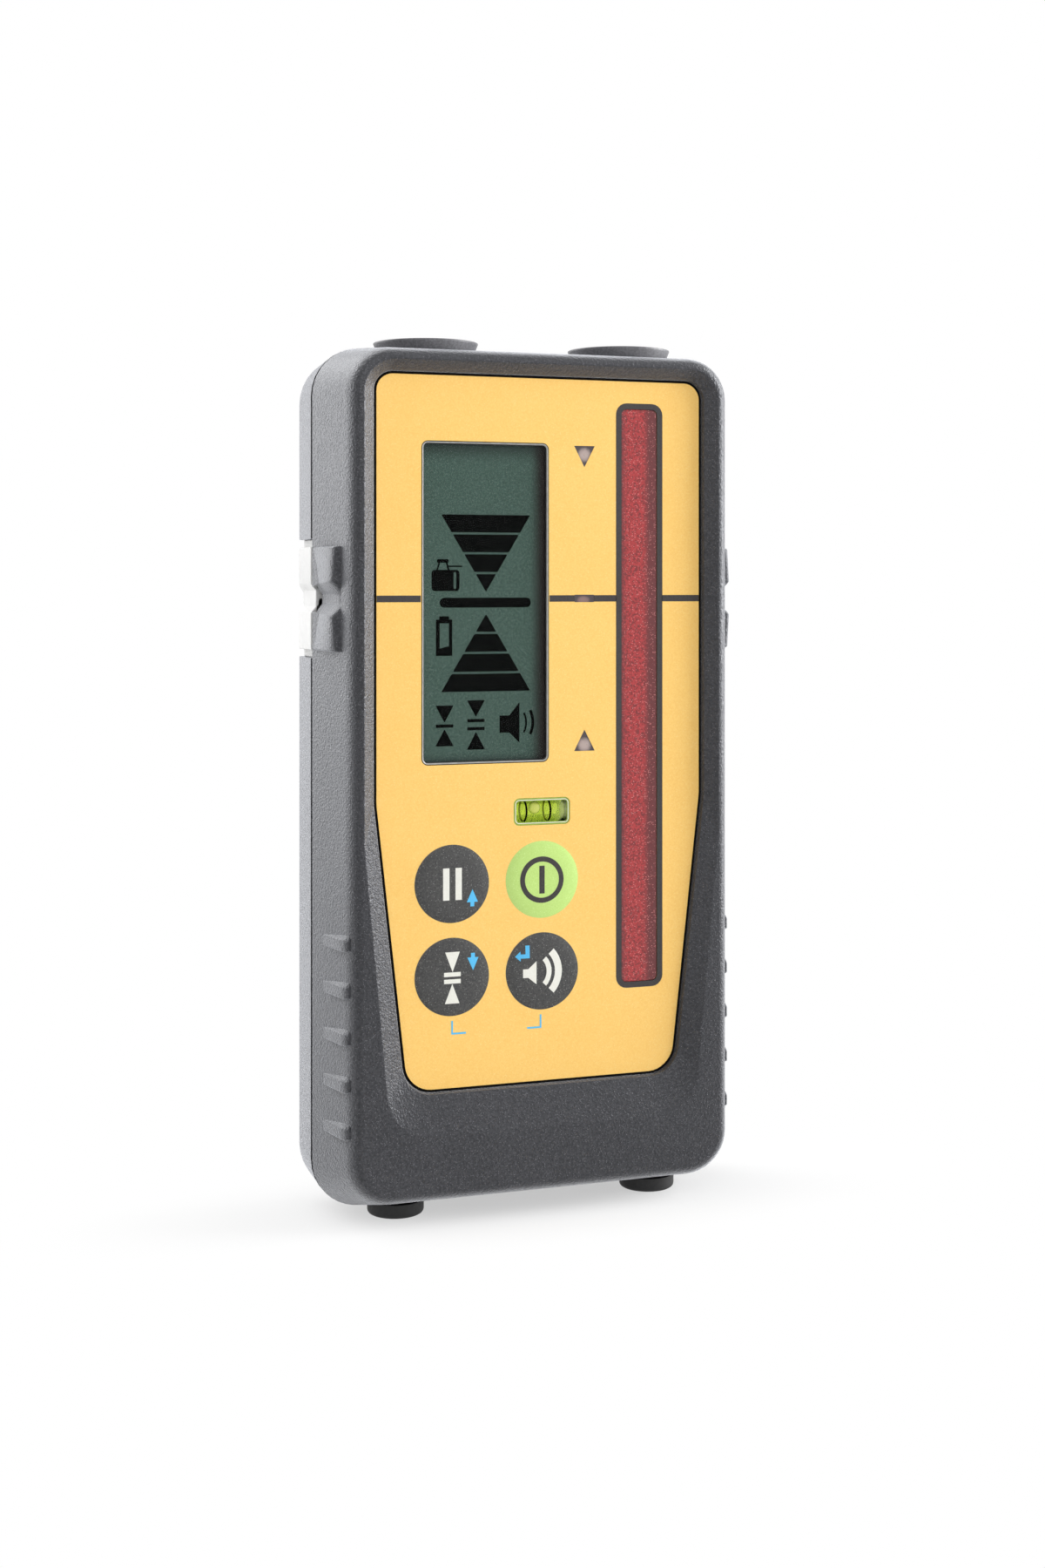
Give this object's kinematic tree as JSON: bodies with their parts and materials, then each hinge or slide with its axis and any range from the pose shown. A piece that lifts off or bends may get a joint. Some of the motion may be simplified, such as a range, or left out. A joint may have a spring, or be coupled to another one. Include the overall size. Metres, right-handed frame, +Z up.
{
  "type": "laser receiver",
  "caption": "Handheld rod-mount laser receiver: tapered two-part case, printed keypad film, display, long red window, spirit vial, notched side wings, grip ribs and a hinged battery door.",
  "frame": {"origin": "on the floor under the middle of the case, midway between the front rim and the back", "axes": "+X to the right seen from the front, -Y towards the viewer of the panel, +Z up the case"},
  "size_m": [0.0762, 0.026, 0.1516],
  "materials": {
    "case_plastic": "fine spark texture",
    "rear_plastic": "fine spark texture",
    "black_seal": "matt",
    "panel_film": "fine matt print",
    "dark_key": "fine matt print",
    "green_key": "fine matt print",
    "clear_lens": "polished",
    "display": "polished",
    "red_filter": "grained, polished",
    "lamp_lens": "polished",
    "vial": "polished",
    "bubble": "clear",
    "white_insert": "smooth",
    "pad_rubber": "matt",
    "foot_rubber": "matt",
    "board": "solder mask",
    "connector": "moulded",
    "chip": "moulded",
    "spring_steel": "plated",
    "cell_jacket": "printed jacket",
    "screw_steel": "plated",
    "insert_brass": "machined"
  },
  "bodies": {
    "case": {"front_shell": "case_plastic", "rear_shell": "rear_plastic", "shell_gasket": "black_seal", "overlay_film": "panel_film", "display_lens": "clear_lens", "display_panel": "display", "receiver_window": "red_filter", "led_lens_high": "lamp_lens", "led_lens_grade": "lamp_lens", "led_lens_low": "lamp_lens", "vial_tube": "vial", "side_insert_left": "white_insert", "side_insert_right": "white_insert", "top_pads": "pad_rubber", "feet": "foot_rubber", "main_board": "board", "sensor_board": "board", "board_link": "connector", "photodiodes": "chip", "indicator_leds": "lamp_lens", "switch_domes": "spring_steel", "buzzer": "chip", "battery_cells": "cell_jacket", "battery_springs": "spring_steel", "battery_plates": "spring_steel", "hinge_pin": "screw_steel", "clamp_insert": "insert_brass", "case_screws": "screw_steel", "board_screws": "screw_steel"},
    "key_pause": {"key_pause": "dark_key"},
    "key_power": {"key_power": "green_key"},
    "key_mode": {"key_mode": "dark_key"},
    "key_sound": {"key_sound": "dark_key"},
    "bubble": {"vial_bubble": "bubble"},
    "door": {"battery_door": "rear_plastic", "door_gasket": "black_seal"},
    "door_screw": {"door_screw": "screw_steel"}
  },
  "joints": [
    {"name": "press_pause", "type": "slide", "parent": "case", "child": "key_pause", "axis": [0, 1, 0], "range_m": [0, 0.0005], "stiffness_N_per_m": 500},
    {"name": "press_power", "type": "slide", "parent": "case", "child": "key_power", "axis": [0, 1, 0], "range_m": [0, 0.0005], "stiffness_N_per_m": 500},
    {"name": "press_mode", "type": "slide", "parent": "case", "child": "key_mode", "axis": [0, 1, 0], "range_m": [0, 0.0005], "stiffness_N_per_m": 500},
    {"name": "press_sound", "type": "slide", "parent": "case", "child": "key_sound", "axis": [0, 1, 0], "range_m": [0, 0.0005], "stiffness_N_per_m": 500},
    {"name": "bubble_run", "type": "slide", "parent": "case", "child": "bubble", "axis": [1, 0, 0], "range_m": [-0.0021, 0.0037]},
    {"name": "door_swing", "type": "hinge", "parent": "case", "child": "door", "pos_m": [0, 0.0112, 0.0091], "axis": [-1, 0, 0], "range_deg": [0, 90]},
    {"name": "screw_turn", "type": "hinge", "parent": "door", "child": "door_screw", "pos_m": [0, 0.0125, 0.0731], "axis": [0, 1, 0], "continuous": true}
  ]
}
